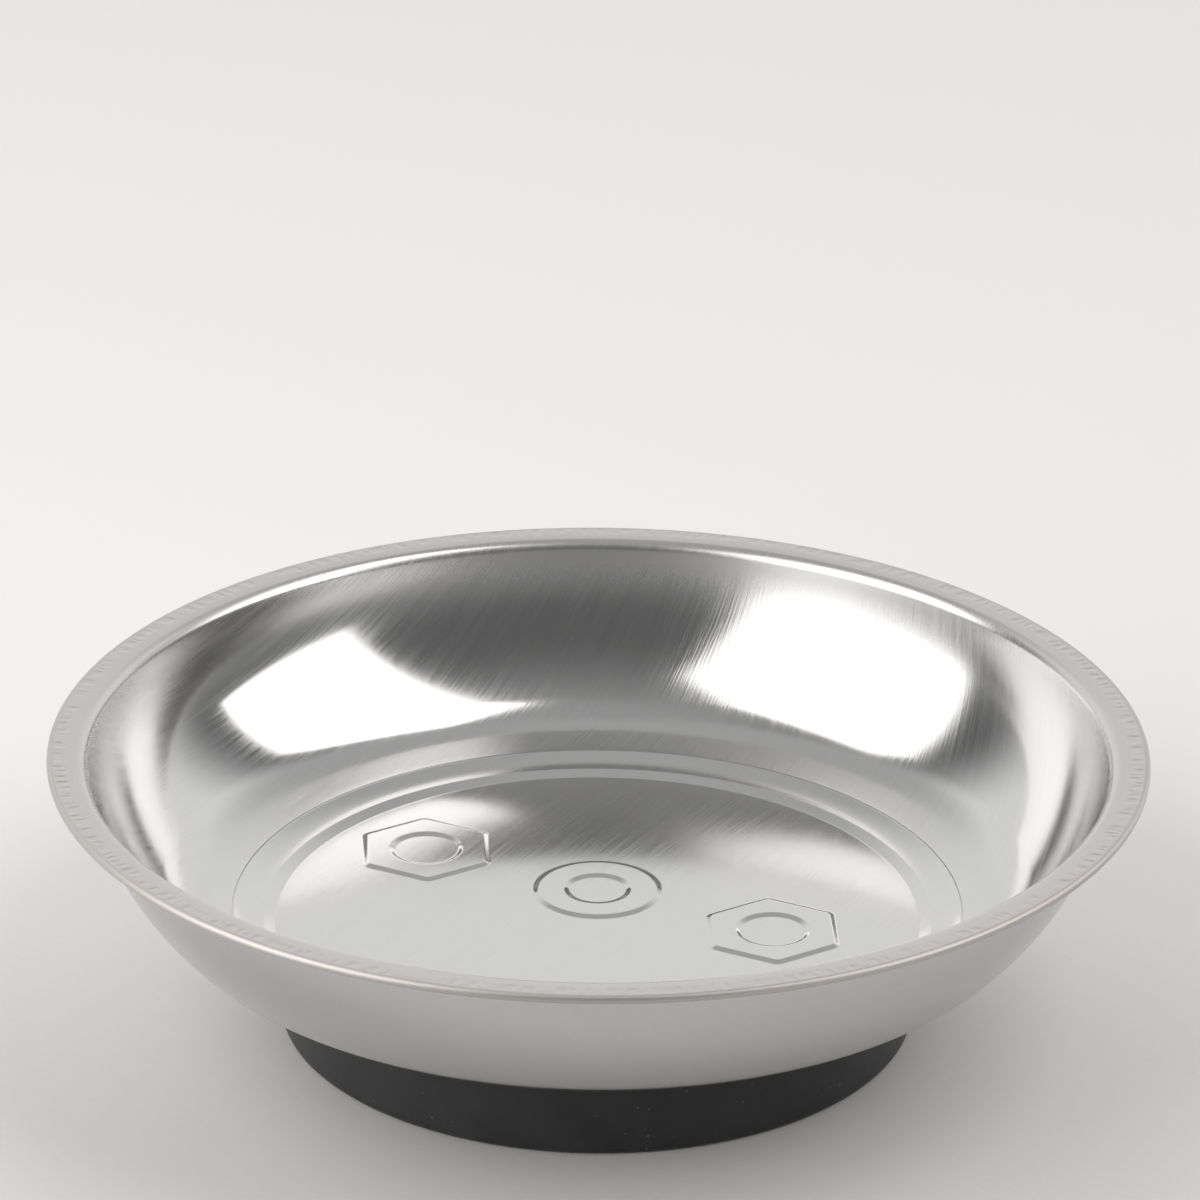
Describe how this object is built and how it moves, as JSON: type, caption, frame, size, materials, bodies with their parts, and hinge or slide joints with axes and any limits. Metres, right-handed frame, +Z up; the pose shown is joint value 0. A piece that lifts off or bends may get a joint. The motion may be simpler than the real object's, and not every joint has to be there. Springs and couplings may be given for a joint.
{
  "type": "magnetic parts tray",
  "caption": "Round brushed stainless steel dish with a recessed centre and a flat hemmed rim, on a rubber-booted ring magnet that holds small steel parts.",
  "frame": {"origin": "middle of the flat underside of the rubber boot, on the surface that the tray stands on", "axes": "+Z up along the dish's axis of revolution; +X and +Y in the plane of the surface, -Y towards the front"},
  "size_m": [0.15, 0.15, 0.0397],
  "materials": {
    "stainless": "bright brushed stainless sheet with one straight grain direction, smooth where it is drawn",
    "foam": "closed-cell foam tape, matte",
    "zinc_plate": "zinc plated mild steel, satin",
    "epoxy": "cured epoxy, slightly glossy",
    "ferrite": "ground ferrite, dull charcoal grey",
    "boot_rubber": "moulded black rubber, matte with a fine grain"
  },
  "bodies": {
    "root": {"bowl": "stainless", "bond_pad": "foam", "backing_plate": "zinc_plate", "magnet_bond": "epoxy", "ring_magnet": "ferrite", "rubber_boot": "boot_rubber"}
  },
  "joints": []
}
